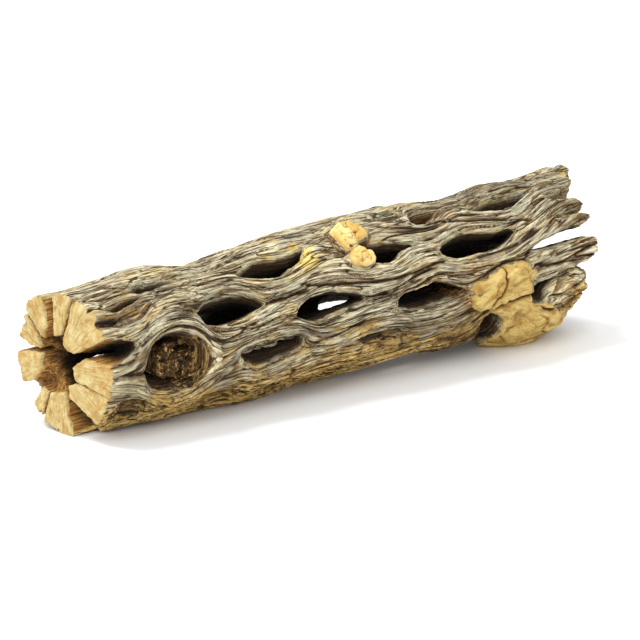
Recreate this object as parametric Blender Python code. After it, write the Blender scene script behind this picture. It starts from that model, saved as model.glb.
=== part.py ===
"""Hollow driftwood stick: the weathered skeleton of a cholla cactus stem.

One piece of wood. A tube of strands with an open pith core runs along X. Lens
shaped windows, set in slanting rows round the stem, go through its wall. The
lengths below are millimetres and the angles degrees, in the stem's own chart:
x runs along the stem from its cut end, and the angle turns about the stem's
axis from the front (-Y, 0) over the top (+Z, 90). The finished piece rests on
its worn underside at Z = 0, with its origin under the middle of its box.
"""

import math

import bmesh
import bpy
from mathutils import Vector
from mathutils import noise

MM = 0.001

# ---- driving dimensions ----------------------------------------------------
LENGTH = 245.0          # stem length, about ten inches
CORE_R = 10.0           # open pith core
TILT = 2.18             # the knob lifts the far end by this many degrees
TURN = 2.6              # and the stem lies turned this far about its axis
AXIS_HEIGHT = 25.7      # height of the axis above the surface, at the cut end
ORIGIN_SHIFT_X = -124.85  # moves the middle of the piece's box to X = 0
ORIGIN_SHIFT_Y = -0.2    # and to Y = 0
ROUND_STEPS = 144       # sides of the turned tube
VOXEL = 0.95            # grain of the remesh that rounds the strands
TRIANGLES = 10400       # target size of the finished mesh

# outer radius along the top and along the bottom of the stem: (x, radius)
TOP_LINE = ((-8, 26.4), (14, 25.4), (40, 27.6), (61, 24.8), (84, 26.9),
            (110, 27.9), (135, 29.2), (158, 29.4), (188, 27.2), (208, 28.4),
            (222, 27.8), (256, 29.2))
BOTTOM_LINE = ((-8, 25.4), (14, 26.4), (40, 27.7), (77, 29.4), (104, 28.8),
               (140, 28.0), (166, 26.3), (180, 27.0), (236, 28.0), (256, 27.0))

# windows through the wall: x, angle, length towards the cut end, length
# towards the far end, half width in degrees, lean in degrees per mm
WINDOWS = (
    # the side that faces forward
    (61, 33.5, 14, 15, 12.0, -0.15),
    (87, 60.5, 13, 14, 9.5, 0.12),
    (104, 16, 15, 17, 9.0, -0.10),
    (78, -9, 15, 15, 9.0, -0.10),
    (137, 48.5, 13, 14, 9.5, -0.15),
    (180, 37, 17, 20, 10.0, -0.10),
    (153, 4, 15, 18, 6.5, -0.15),
    (41, 74, 13, 16, 6.5, 0.00),
    (22, 50, 8, 8, 4.5, 0.30),
    (9, 58, 7, 8, 4.0, 0.40),
    (206, 72, 15, 15, 7.5, 0.10),
    (168, 78, 8, 10, 8.0, -0.50),
    (125, -22, 15, 15, 4.5, -0.15),
    (216, -16, 9, 14, 6.5, 0.10),
    # the rows that carry on over the top, down the back and underneath
    (68, 107, 14, 15, 8.0, -0.15),
    (117, 98, 10, 11, 5.0, -0.10),
    (45, 154, 14, 15, 8.5, -0.15),
    (92, 141, 15, 15, 9.0, -0.15),
    (139, 128, 14, 15, 8.0, -0.15),
    (186, 116, 14, 15, 8.5, -0.15),
    (232, 106, 12, 14, 6.0, -0.10),
    (23, 198, 14, 14, 8.0, -0.15),
    (69, 186, 14, 15, 9.0, -0.15),
    (116, 174, 15, 15, 8.5, -0.15),
    (163, 161, 14, 15, 9.0, -0.15),
    (210, 149, 14, 15, 8.0, -0.15),
    (47, 232, 13, 14, 8.0, -0.15),
    (94, 220, 14, 15, 8.5, -0.15),
    (146, 208, 14, 16, 9.0, -0.10),
    (190, 196, 14, 15, 8.5, -0.15),
    (235, 188, 14, 14, 6.5, -0.10),
    (24, 276, 12, 13, 6.0, -0.15),
    (71, 262, 13, 14, 7.5, -0.15),
    (118, 252, 13, 14, 7.5, -0.15),
    (165, 242, 13, 14, 7.0, -0.15),
    (218, 232, 12, 13, 6.5, -0.15),
    (56, 312, 11, 12, 6.0, -0.10),
    (101, 298, 13, 13, 6.5, -0.10),
    (147, 286, 12, 13, 6.0, -0.10),
    (177, 314, 10, 9, 6.0, -0.10),
)

# slots that run out through the cut end: angle at the end, length along the
# stem, half width in degrees, lean
CUT_SLOTS = (
    (25, 19, 6.5, 0.0),
    (76, 10, 4.5, -0.6),
    (-28, 8, 2.0, 0.0),
    (-70, 13, 7.5, 0.3),
    (-143, 12, 6.0, 0.0),
    (-180, 14, 4.0, 0.0),
    (146, 13, 4.5, 0.0),
    (106, 9, 3.5, 0.0),
)

# slots between the broken strands of the far end: angle, length, half width
FAR_SLOTS = (
    (22, 38, 4.6, 0.0),
    (57, 13, 6.0, 0.0),
    (-10, 8, 4.5, 0.0),
    (-52, 12, 5.0, 0.0),
    (82, 10, 4.0, 0.0),
    (128, 20, 5.0, 0.0),
    (165, 15, 5.0, 0.0),
    (216, 16, 5.0, 0.0),
    (256, 17, 5.0, 0.0),
)

# broken branch socket, low on the front near the cut end
SOCKET_X, SOCKET_ANGLE, SOCKET_R, SOCKET_FLOOR = 30.5, 0.0, 11.5, 19.5

# sawn branch stubs: x, angle, length, width, height over the surface
STUBS = (
    (127, 76, 13.0, 15.0, 3.4),
    (124, 47, 8.0, 7.0, 1.6),
)

# the worn foot of a cut branch, a blunt lump under the far end:
# x, angle, half length, half breadth, half depth, radius of its centre
KNOB = (211.0, -72.0, 33.0, 23.0, 18.0, 17.0)


def line_at(line, x):
    for (x0, r0), (x1, r1) in zip(line, line[1:]):
        if x <= x1:
            t = max(0.0, (x - x0) / (x1 - x0))
            t = t * t * (3 - 2 * t)
            return r0 + (r1 - r0) * t
    return line[-1][1]


def spot(x, angle, r):
    """A point of the chart as a point in the stem's frame."""
    a = math.radians(angle)
    return Vector((x * MM, -r * math.cos(a) * MM, r * math.sin(a) * MM))


def outer_radius(x, angle):
    """Stem radius: the top and bottom lines, blended round, with soft lumps."""
    t = 0.5 + 0.5 * math.cos(math.radians(angle - 111))
    base = line_at(TOP_LINE, x) * t + line_at(BOTTOM_LINE, x) * (1 - t)
    a = math.radians(angle)
    lump = noise.noise(Vector((x / 26.0, 1.6 * math.cos(a), 1.6 * math.sin(a) + 4.0)))
    return base + 0.7 * lump


def clear_scene():
    for obj in list(bpy.data.objects):
        bpy.data.objects.remove(obj, do_unlink=True)


def new_object(name, bm):
    bmesh.ops.recalc_face_normals(bm, faces=bm.faces)
    mesh = bpy.data.meshes.new(name)
    bm.to_mesh(mesh)
    bm.free()
    mesh.shade_smooth()
    obj = bpy.data.objects.new(name, mesh)
    bpy.context.scene.collection.objects.link(obj)
    return obj


def as_cutter(obj, group=None):
    obj.hide_render = True
    obj.display_type = "WIRE"
    if group is not None:
        bpy.context.scene.collection.objects.unlink(obj)
        group.objects.link(obj)
    return obj


def far_end(angle):
    """Where the strands break off at the far end, by angle."""
    a = math.radians(angle)
    wave = noise.noise(Vector((2.1 * math.cos(a), 2.1 * math.sin(a), 9.0)))
    tip = LENGTH + 1.5 + 4.0 * wave
    lift = ((angle - 100 + 180) % 360) - 180
    tip += 5.0 * math.exp(-(lift / 26.0) ** 2)
    low = ((angle + 40 + 180) % 360) - 180
    return tip - 8.0 * math.exp(-(low / 42.0) ** 2)


def cut_end(angle):
    """Where each blade of the cut end starts, by angle."""
    a = math.radians(angle)
    return 0.8 + 1.6 * noise.noise(Vector((2.6 * math.cos(a), 2.6 * math.sin(a), 2.0)))


def make_tube():
    """The stem: rings swept along X, closed by end faces that follow the break."""
    bm = bmesh.new()
    rings = []
    steps = 110
    for i in range(steps + 1):
        ring = []
        for j in range(ROUND_STEPS):
            angle = 360.0 * j / ROUND_STEPS
            x0, x1 = cut_end(angle), far_end(angle)
            x = x0 + (x1 - x0) * i / steps
            ring.append(bm.verts.new(spot(x, angle, outer_radius(x, angle))))
        rings.append(ring)
    inner = []
    for i in range(steps, -1, -1):
        ring = []
        for j in range(ROUND_STEPS):
            angle = 360.0 * j / ROUND_STEPS
            x0, x1 = cut_end(angle), far_end(angle)
            x = x0 + (x1 - x0) * i / steps
            a = math.radians(angle)
            r = CORE_R + 0.9 * noise.noise(Vector((x / 18.0, 2 * math.cos(a), 2 * math.sin(a))))
            ring.append(bm.verts.new(spot(x, angle, r)))
        inner.append(ring)
    loops = rings + inner + [rings[0]]
    for one, two in zip(loops, loops[1:]):
        for j in range(ROUND_STEPS):
            k = (j + 1) % ROUND_STEPS
            bm.faces.new((one[j], one[k], two[k], two[j]))
    return new_object("driftwood", bm)


def lens_outline(back, front, half, sides=11):
    """Outline of a window: pointed at both ends, widest in the middle."""
    up, down = [], []
    for i in range(sides + 1):
        u = -1 + 2 * i / sides
        p = u * (front if u > 0 else back)
        w = half * (1 - abs(u) ** 1.9) ** 0.85
        up.append((p, w))
        if 0 < i < sides:
            down.append((p, -w))
    return up + down[::-1]


def radial_prism(name, outline, x, angle, lean, r_low, r_high, group):
    """The outline, swept straight out from the stem's axis."""
    bm = bmesh.new()
    low, high = [], []
    for p, w in outline:
        a = angle + w + lean * p
        low.append(bm.verts.new(spot(x + p, a, r_low)))
        high.append(bm.verts.new(spot(x + p, a, r_high)))
    count = len(outline)
    bm.faces.new(low)
    bm.faces.new(high[::-1])
    for i in range(count):
        k = (i + 1) % count
        bm.faces.new((low[i], high[i], high[k], low[k]))
    return as_cutter(new_object(name, bm), group)


def ellipsoid(name, x, angle, r, half_x, half_round, half_out, group=None, cut=False):
    """A lump on the stem, flattened along its radius."""
    bm = bmesh.new()
    bmesh.ops.create_icosphere(bm, subdivisions=4, radius=1.0)
    a = math.radians(angle)
    out = Vector((0, -math.cos(a), math.sin(a)))
    side = Vector((0, math.sin(a), math.cos(a)))
    centre = spot(x, angle, r)
    for v in bm.verts:
        d = v.co.copy()
        bump = 1 + 0.08 * noise.noise(d * 2.3)
        v.co = centre + (Vector((1, 0, 0)) * d.x * half_x + side * d.y * half_round
                         + out * d.z * half_out) * (MM * bump)
    return as_cutter(new_object(name, bm), group)


def slab(name, low, high, group=None):
    bm = bmesh.new()
    bmesh.ops.create_cube(bm, size=1.0)
    for v in bm.verts:
        v.co = Vector([l if c < 0 else h for c, l, h in zip(v.co, low, high)])
    return as_cutter(new_object(name, bm), group)


def boolean(obj, name, operation, other):
    modifier = obj.modifiers.new(name, "BOOLEAN")
    modifier.operation = operation
    modifier.solver = "EXACT"
    if isinstance(other, bpy.types.Collection):
        modifier.operand_type = "COLLECTION"
        modifier.collection = other
    else:
        modifier.object = other
    return modifier


def main():
    clear_scene()

    # the stem's frame, as it lies: everything but the ground is made in it
    stem = bpy.data.objects.new("stem_frame", None)
    bpy.context.scene.collection.objects.link(stem)
    stem.location = (ORIGIN_SHIFT_X * MM, ORIGIN_SHIFT_Y * MM, AXIS_HEIGHT * MM)
    stem.rotation_euler = (math.radians(TURN), math.radians(-TILT), 0.0)

    wood = make_tube()

    cutters = bpy.data.collections.new("window_cutters")
    bpy.context.scene.collection.children.link(cutters)
    for i, (x, angle, back, front, half, lean) in enumerate(WINDOWS):
        radial_prism(f"window_{i:02d}", lens_outline(back, front, half), x, angle,
                     lean, 5.0, 44.0, cutters)
    for i, (angle, length, half, lean) in enumerate(CUT_SLOTS):
        radial_prism(f"cut_slot_{i}", lens_outline(length, length, half), 0.0, angle,
                     lean, 5.0, 44.0, cutters)
    for i, (angle, length, half, lean) in enumerate(FAR_SLOTS):
        radial_prism(f"far_slot_{i}", lens_outline(length, length, half), LENGTH + 3.0,
                     angle, lean, 5.0, 44.0, cutters)

    # the branch socket is sunk into the wall and doesn't go through it
    socket = [(SOCKET_R * math.cos(t), math.degrees(SOCKET_R / 26.0) * math.sin(t))
              for t in (2 * math.pi * k / 28 for k in range(28))]
    radial_prism("socket", socket, SOCKET_X, SOCKET_ANGLE, 0.0, SOCKET_FLOOR, 44.0, cutters)
    boolean(wood, "windows", "DIFFERENCE", cutters)

    x, angle, half_x, half_round, half_out, r = KNOB
    knob = ellipsoid("knob", x, angle, r, half_x, half_round, half_out)
    boolean(wood, "knob", "UNION", knob)
    for i, (x, angle, long, wide, tall) in enumerate(STUBS):
        r = outer_radius(x, angle)
        stub = ellipsoid(f"stub_{i}", x, angle, r - 2.0, long / 2, wide / 2, tall + 2.0)
        boolean(wood, f"stub_{i}", "UNION", stub)
    reach = (LENGTH + 40) * MM
    bm = bmesh.new()
    bmesh.ops.create_cone(bm, cap_ends=True, segments=32, radius1=9.0 * MM,
                          radius2=9.0 * MM, depth=2 * reach)
    for v in bm.verts:
        v.co = Vector((v.co.z + LENGTH / 2 * MM, v.co.x, v.co.y))
    core = as_cutter(new_object("core_reamer", bm))
    boolean(wood, "core", "DIFFERENCE", core)

    remesh = wood.modifiers.new("strands", "REMESH")
    remesh.mode = "VOXEL"
    remesh.voxel_size = VOXEL * MM
    smooth = wood.modifiers.new("weathering", "SMOOTH")
    smooth.factor = 0.5
    smooth.iterations = 6

    for obj in list(bpy.data.objects):
        if obj is not stem:
            obj.parent = stem
    bpy.context.view_layer.update()

    # thin the mesh to its target, then wear the underside flat where it rests
    graph = bpy.context.evaluated_depsgraph_get()
    dense = wood.evaluated_get(graph).to_mesh()
    count = sum(len(p.vertices) - 2 for p in dense.polygons)
    wood.evaluated_get(graph).to_mesh_clear()
    thin = wood.modifiers.new("thin", "DECIMATE")
    thin.ratio = min(1.0, TRIANGLES / count)
    ground = slab("ground", (-0.4, -0.2, -0.1), (0.4, 0.2, 0.0))
    boolean(wood, "wear", "DIFFERENCE", ground)

    paint = bpy.data.materials.new("weathered_wood")
    paint.use_nodes = True
    shader = paint.node_tree.nodes["Principled BSDF"]
    shader.inputs["Base Color"].default_value = (0.42, 0.35, 0.25, 1)
    shader.inputs["Roughness"].default_value = 0.82
    shader.inputs["Metallic"].default_value = 0.0
    wood.data.materials.append(paint)


main()
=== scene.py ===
"""The looks of a hollow driftwood stick, the weathered skeleton of a cholla stem.

The stick is described in its own chart: x in millimetres along the stem from
its cut end, an angle in degrees round its axis from the front (0) over the top
(90), and a radius. The wood is a solid given by a few fields over that chart
(outer and inner radius, distance to the windows, the two ends), turned into a
mesh, and finished with grain that flows round the windows.
"""
import math

import bpy
import numpy as np
from mathutils import Matrix, Vector


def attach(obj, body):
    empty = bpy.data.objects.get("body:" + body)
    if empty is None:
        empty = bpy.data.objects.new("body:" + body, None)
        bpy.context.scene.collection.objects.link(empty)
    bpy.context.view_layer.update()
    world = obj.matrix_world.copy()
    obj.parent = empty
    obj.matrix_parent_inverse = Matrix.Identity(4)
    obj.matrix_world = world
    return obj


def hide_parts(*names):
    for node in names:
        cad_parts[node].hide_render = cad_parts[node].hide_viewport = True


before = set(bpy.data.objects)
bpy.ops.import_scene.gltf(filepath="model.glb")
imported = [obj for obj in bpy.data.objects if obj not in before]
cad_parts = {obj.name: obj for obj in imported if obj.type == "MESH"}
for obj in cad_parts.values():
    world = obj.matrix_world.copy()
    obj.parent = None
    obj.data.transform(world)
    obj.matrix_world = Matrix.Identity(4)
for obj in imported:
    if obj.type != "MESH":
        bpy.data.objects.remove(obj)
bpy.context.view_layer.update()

# ---------------------------------------------------------------- dimensions
LENGTH = 245.0
CORE_R = 10.0
TILT, TURN = 2.18, 2.6
SHIFT = (-124.85, -0.2, 25.7)
R0 = 26.0                        # radius at which the chart is measured
CIRC = 2 * math.pi * R0
MMDEG = CIRC / 360.0

TOP_LINE = ((-8, 26.4), (14, 25.4), (40, 27.6), (61, 24.8), (84, 26.9),
            (110, 27.9), (135, 29.2), (158, 29.4), (188, 27.2), (208, 28.4),
            (222, 27.8), (256, 29.2))
BOTTOM_LINE = ((-8, 25.4), (14, 26.4), (40, 27.7), (77, 29.4), (104, 28.8),
               (140, 28.2), (156, 28.2), (168, 29.3), (180, 30.3), (194, 30.0), (236, 28.0), (256, 27.0))

# windows drawn one by one: outline as (x, angle) points, floor radius (0 = right
# through), slope of the floor up from its lower edge
OUTLINES = (
    (((47, 38), (54, 46), (61, 47.5), (68, 46), (73, 39), (77, 30), (71, 26), (63, 23), (56, 22), (49, 27), (47.5, 33)), 0, 0),
    (((73, 66), (83, 74), (90, 72), (97, 71), (106, 74), (101, 63), (94, 58), (88, 52), (81, 53), (75, 58)), 0, 0),
    (((89, 15), (93, 23), (100, 27), (107, 27), (113, 23), (123, 15), (114, 11), (106, 9), (100, 6.5), (94, 9)), 0, 0),
    (((126, 57), (129, 59), (134, 60), (140, 60), (145, 55), (153, 50), (146, 46), (142, 41), (137, 39.5), (132, 41), (129.5, 47)), 0, 0),
    (((163, 37), (169, 45), (175, 48), (183, 48), (191, 45), (203, 40), (195, 31), (188, 28), (176, 28), (168, 29)), 0, 0),
    (((137, 1), (140, 8), (145, 10), (152, 11), (159, 12), (172, -1), (164, -4), (154, -5), (143, -4)), 0, 0),
    (((62, -9), (66, -5), (71, -3), (74, -4), (79, -1), (83, -3), (89, -2), (93, -13), (86, -21), (78, -25), (69, -22)), 10, 2.2),
    (((27, 74), (32, 83), (38, 79), (47, 80), (60, 82), (47, 73), (38, 69), (31, 69)), 0, 0),
    (((189, 72), (198, 80), (207, 80), (214, 81), (223, 79), (213, 69), (205, 63), (197, 63)), 0, 0),
    (((160, 79), (165, 87), (173, 89), (179, 84), (172, 73), (164, 65), (158, 66)), 18, 1.0),
    (((150, 95), (157, 99), (163, 94), (158, 80), (149, 76), (145, 84)), 24.3, 0),
    (((109, -23), (116, -19), (124, -17), (139, -21), (140, -27), (123, -27)), 16, 0.5),
    (((48, -60), (47, -41), (52, -38), (58, -37), (66, -44), (64, -60)), 20, 0.6),
    (((72, -52), (76, -45), (84, -44), (92, -50), (86, -60)), 23, 0.4),
    (((97, -56), (103, -47), (112, -46), (121, -50), (112, -60)), 23, 0.4),
    (((183.5, -27), (188.5, -28), (191.5, -46), (193, -68), (193, -90), (190, -90), (188, -66), (185.5, -46), (182, -33)), 16, 0.2),
    (((10, -50), (9, -28), (14, -25), (22, -30), (20, -48)), 21.5, 0.4),
    (((205, -17), (208, -10), (214, -9), (222, -8), (229, -8), (220, -13), (214, -19), (212, -28), (207, -26)), 14, 0),
    (((13, 45), (17, 52), (23, 56), (31, 58), (27, 51), (20, 44)), 16.5, 0.8),
    (((114.9, 94.6), (117.9, 100.1), (123.4, 97.6), (119.4, 91.1)), 20, 0.5),
    (((12, 61), (17, 65), (23, 68), (29, 66), (22, 60), (15, 57)), 10, 0),
)
# the others, shaped alike: x, angle, length back, length on, half width (deg),
# lean (deg/mm), sharpness back, sharpness on, floor radius
WINDOWS = (
    (68, 107, 14, 15, 8.0, -0.15, 0.85, 0.85, 0),
    (117, 98, 10, 11, 5.0, -0.10, 0.85, 0.85, 0),
    (45, 154, 14, 15, 8.5, -0.15, 0.8, 0.9, 0),
    (92, 141, 15, 15, 9.0, -0.15, 0.75, 0.85, 0),
    (139, 128, 14, 15, 8.0, -0.15, 0.8, 0.9, 0),
    (186, 116, 14, 15, 8.5, -0.15, 0.7, 0.85, 0),
    (232, 106, 12, 14, 6.0, -0.10, 0.85, 0.85, 0),
    (25, 205, 10, 14, 3.0, -0.15, 0.85, 0.85, 0),
    (69, 186, 14, 15, 9.0, -0.15, 0.75, 0.95, 0),
    (116, 174, 15, 15, 8.5, -0.15, 0.85, 0.8, 0),
    (163, 161, 14, 15, 9.0, -0.15, 0.7, 0.9, 0),
    (210, 149, 14, 15, 8.0, -0.15, 0.8, 0.85, 0),
    (47, 232, 13, 14, 8.0, -0.15, 0.85, 0.85, 0),
    (94, 220, 14, 15, 8.5, -0.15, 0.7, 0.95, 0),
    (190, 196, 14, 15, 8.5, -0.15, 0.75, 0.85, 0),
    (236, 182, 14, 14, 5.0, -0.10, 0.85, 0.85, 0),
    (24, 276, 12, 13, 6.0, -0.15, 0.85, 0.85, 0),
    (71, 262, 13, 14, 7.5, -0.15, 0.8, 0.9, 0),
    (118, 252, 13, 14, 7.5, -0.15, 0.75, 0.85, 0),
    (165, 242, 13, 14, 7.0, -0.15, 0.85, 0.85, 0),
    (218, 232, 12, 13, 6.5, -0.15, 0.8, 0.9, 0),
    (101, 298, 9, 9, 4.0, -0.10, 0.8, 0.85, 0),
    (147, 286, 12, 13, 6.0, -0.10, 0.85, 0.85, 0),
)
# the far end's slots: outlines again
FAR_SLOTS = (
    (((207, 19.5), (216, 24.5), (228, 29), (240, 31.5), (262, 34), (262, 15), (240, 18), (228, 18.5), (216, 18)), 0, 0),
    (((228, 63), (237, 57), (262, 53), (262, 75), (241, 71)), 0, 0),
    (((226, 42), (240, 45.5), (262, 47), (262, 42), (240, 41.5)), 22, 0),
    (((232, -8), (240, -4), (262, 2), (262, -20), (242, -15)), 0, 0),
    (((236, -47), (262, -40), (262, -60)), 0, 0),
    (((240, 84), (262, 88), (262, 80)), 0, 0),
    (((225, 128), (245, 134), (262, 135), (262, 122), (245, 123)), 0, 0),
    (((229, 165), (245, 171), (262, 172), (262, 158), (245, 160)), 0, 0),
    (((228, 216), (245, 222), (262, 223), (262, 209), (245, 211)), 0, 0),
    (((228, 256), (245, 262), (262, 263), (262, 249), (245, 251)), 0, 0),
    (((131, 216), (132.5, 209), (138, 206.5), (143, 206), (149, 208), (155, 210.5), (159, 215), (154, 222), (145, 227), (136, 228), (131.5, 223)), 0, 0),
)
# the blades of the cut end: outlines on its plane (front, up) in mm
BLADES = (
    ((-19.9, 20.1), (-17.4, 21.6), (-10.8, 23.0), (-9.3, 19.8), (-7.0, 13.5), (-8.6, 8.8), (-10.8, 8.8), (-14.8, 12.2), (-19.2, 16.8)),
    ((-4.0, 23.9), (2.4, 25.4), (3.8, 22.0), (-0.3, 11.4), (-3.1, 10.4), (-3.8, 18.1)),
    ((5.0, 22.3), (8.2, 21.8), (16.0, 20.0), (22.4, 19.2), (22.8, 16.3), (16.7, 11.8), (7.6, 6.4), (0.3, 6.8), (3.0, 14.6), (4.2, 19.7)),
    ((6.2, 0.4), (12.9, 5.0), (28.7, 4.2), (28.3, -6.2), (24.4, -6.2), (15.5, -4.7), (8.6, -3.3)),
    ((4.2, -6.6), (9.9, -4.6), (17.9, -5.9), (27.5, -8.0), (24.5, -14.0), (20.9, -17.5), (13.5, -15.0), (5.0, -11.0)),
    ((-6.1, -12.0), (1.8, -9.8), (2.5, -17.2), (5.5, -21.5), (5.6, -25.9), (-5.1, -25.1), (-9.3, -22.0)),
    ((-16.6, -18.2), (-12.0, -11.6), (-8.0, -12.0), (-10.6, -20.2), (-10.6, -24.6), (-15.3, -22.6)),
    ((-27.1, -6.8), (-24.8, -2.0), (-19.4, 0.3), (-12.2, 0.9), (-11.4, -3.9), (-15.7, -8.9), (-22.0, -11.0), (-26.2, -10.2)),
    ((-22.7, 9.4), (-18.8, 13.3), (-14.9, 8.4), (-14.1, 3.2), (-19.3, 2.9), (-24.5, 4.6)),
)
GAP_DEPTH = ((-165, 4), (-150, 5), (-143, 6), (-130, 5), (-120, 4), (-98, 4), (-80, 9), (-66, 12),
             (-50, 5), (-28, 6), (-10, 4), (6, 6), (12, 9), (20, 17), (27, 18), (33, 10), (42, 5), (60, 4),
             (68, 12), (80, 12), (90, 5), (96, 12), (112, 13), (118, 4), (140, 8), (148, 11), (160, 5), (176, 9), (186, 8))
SOCKET = (33.0, 0.0, 13.4, 12.0)  # broken branch socket: x, angle, radius along, radius round
KNOB = (214.0, -72.0, 29.0, 23.0, 18.3, 17.0)
KNOB_FACE = ((171, 2), (172, -10), (176, -17), (183, -21), (189, -30), (192, -48), (194, -75), (207, -96),
             (225, -80), (236, -56), (226, -42), (217, -28), (207, -26), (204, -15), (206, -5), (206, 6),
             (198, 13), (190, 13), (181, 9))
STUBS = (                        # sawn stubs: x, angle, half length, half width, height, slope along, slope round
    (125.5, 65.5, 7.6, 7.0, 2.6, -0.10, 0.10),
    (124.5, 46.5, 5.6, 3.9, 2.4, 0.02, 0.05),
)

# ---------------------------------------------------------------- grid
DX, NT, DR = ((0.5, 512, 0.5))
X_LOW, X_HIGH, R_LOW, R_HIGH = -6.0, 262.0, 6.5, 38.5
NX = int(round((X_HIGH - X_LOW) / DX)) + 1
NR = int(round((R_HIGH - R_LOW) / DR)) + 1
xs = (X_LOW + DX * np.arange(NX)).astype(np.float32)
ts = (360.0 / NT * np.arange(NT)).astype(np.float32)
rs = (R_LOW + DR * np.arange(NR)).astype(np.float32)
XX, TT = np.meshgrid(xs, ts, indexing="ij")


# ---------------------------------------------------------------- noise
GRAD = np.array([[1, 1, 0], [-1, 1, 0], [1, -1, 0], [-1, -1, 0], [1, 0, 1], [-1, 0, 1],
                 [1, 0, -1], [-1, 0, -1], [0, 1, 1], [0, -1, 1], [0, 1, -1], [0, -1, -1],
                 [1, 1, 0], [-1, 1, 0], [0, -1, 1], [0, -1, -1]], np.float32)


def _hash(i, j, k, seed):
    h = (i * 73856093) ^ (j * 19349663) ^ (k * 83492791) ^ (seed * 2654435)
    h = h & 0xFFFFFFFF
    h = ((h ^ (h >> 15)) * 2246822519) & 0xFFFFFFFF
    h = ((h ^ (h >> 13)) * 3266489917) & 0xFFFFFFFF
    return (h ^ (h >> 16)) & 15


def noise3(p, seed=0):
    """Gradient noise, about -1 to 1, at points p (..., 3)."""
    shape = p.shape[:-1]
    p = np.ascontiguousarray(p, np.float32).reshape(-1, 3)
    base = np.floor(p)
    f = p - base
    base = base.astype(np.int64)
    u = f * f * f * (f * (f * 6 - 15) + 10)
    out = np.zeros(len(p), np.float32)
    for a in (0, 1):
        for b in (0, 1):
            for c in (0, 1):
                g = GRAD[_hash(base[:, 0] + a, base[:, 1] + b, base[:, 2] + c, seed)]
                d = g[:, 0] * (f[:, 0] - a) + g[:, 1] * (f[:, 1] - b) + g[:, 2] * (f[:, 2] - c)
                w = ((u[:, 0] if a else 1 - u[:, 0]) * (u[:, 1] if b else 1 - u[:, 1])
                     * (u[:, 2] if c else 1 - u[:, 2]))
                out += w * d
    return out.reshape(shape)


def ring_noise(s, x, across, along, seed, r=R0):
    """Noise on the stem's surface: scale across (mm round) and along (mm)."""
    a = s * (2 * math.pi / CIRC)
    return noise3(np.stack([r * np.cos(a) / across, r * np.sin(a) / across,
                            x / along + 7.7 * seed], -1), seed)


def step(lo, hi, v):
    t = np.clip((v - lo) / (hi - lo), 0, 1)
    return t * t * (3 - 2 * t)


def smin(a, b, k):
    h = np.maximum(k - np.abs(a - b), 0) / k
    return np.minimum(a, b) - h * h * (k * 0.25)


def smax(a, b, k):
    return -smin(-a, -b, k)


def wrap(deg):
    return (deg + 180.0) % 360.0 - 180.0


def on_line(line, x):
    px = np.array([p[0] for p in line], np.float32)
    py = np.array([p[1] for p in line], np.float32)
    i = np.clip(np.searchsorted(px, x, side="right") - 1, 0, len(px) - 2)
    t = np.clip((x - px[i]) / (px[i + 1] - px[i]), 0, 1)
    t = t * t * (3 - 2 * t)
    return py[i] + (py[i + 1] - py[i]) * t


# ---------------------------------------------------------------- windows
def lens(back, on, half, lean, sharp_back, sharp_on, sides=22):
    """Outline of a window in mm of the chart, about its centre."""
    up, down = [], []
    for i in range(2 * sides + 1):
        u = -1 + i / sides
        p = u * (on if u > 0 else back)
        w = half * (1 - abs(u) ** 1.9) ** (sharp_on if u > 0 else sharp_back)
        up.append((p, (lean * p + w) * MMDEG))
        if 0 < i < 2 * sides:
            down.append((p, (lean * p - w) * MMDEG))
    return np.array(up + down[::-1], np.float32)


def near_grid(x, angle, reach_x, reach_s):
    """Grid indices near a point of the chart, and their offsets from it in mm."""
    i0 = max(0, int((x - reach_x - X_LOW) / DX))
    i1 = min(NX, int((x + reach_x - X_LOW) / DX) + 2)
    span = int(reach_s / MMDEG / (360.0 / NT)) + 1
    jc = int(round(angle / (360.0 / NT)))
    j = np.arange(jc - span, jc + span + 1)
    ii, jj = np.meshgrid(np.arange(i0, i1), j, indexing="ij")
    px = xs[ii] - x
    ps = wrap(jj * (360.0 / NT) - angle) * MMDEG
    return ii, jj % NT, px.astype(np.float32), ps.astype(np.float32)


def polygon_distance(px, ps, poly):
    """Signed distance to a closed outline, positive outside."""
    a, b = poly, np.roll(poly, -1, 0)
    e = b - a
    qx, qs = px[..., None] - a[:, 0], ps[..., None] - a[:, 1]
    t = np.clip((qx * e[:, 0] + qs * e[:, 1]) / np.maximum((e ** 2).sum(1), 1e-9), 0, 1)
    d = np.sqrt((qx - t * e[:, 0]) ** 2 + (qs - t * e[:, 1]) ** 2).min(-1)
    over = (a[:, 1] > ps[..., None]) != (b[:, 1] > ps[..., None])
    with np.errstate(divide="ignore", invalid="ignore"):
        cross = px[..., None] < a[:, 0] + (ps[..., None] - a[:, 1]) / np.where(e[:, 1] == 0, 1e-9, e[:, 1]) * e[:, 0]
    inside = ((over & cross).sum(-1) % 2) == 1
    return np.where(inside, -d, d).astype(np.float32)


MARGIN = 11.0
through = np.full((NX, NT), MARGIN, np.float32)      # distance to what goes right through
opened = np.full((NX, NT), MARGIN, np.float32)       # distance to any window or recess
floor_r = np.zeros((NX, NT), np.float32)             # floor radius inside a recess
flow_fix = np.full((NX, NT), np.nan, np.float32)     # stream value held inside windows

jag_a = ring_noise(TT * MMDEG, XX, 2.2, 3.0, 5) * 0.55
jag_b = ring_noise(TT * MMDEG, XX, 5.0, 9.0, 6) * 0.9
jag = jag_a + jag_b


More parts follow.
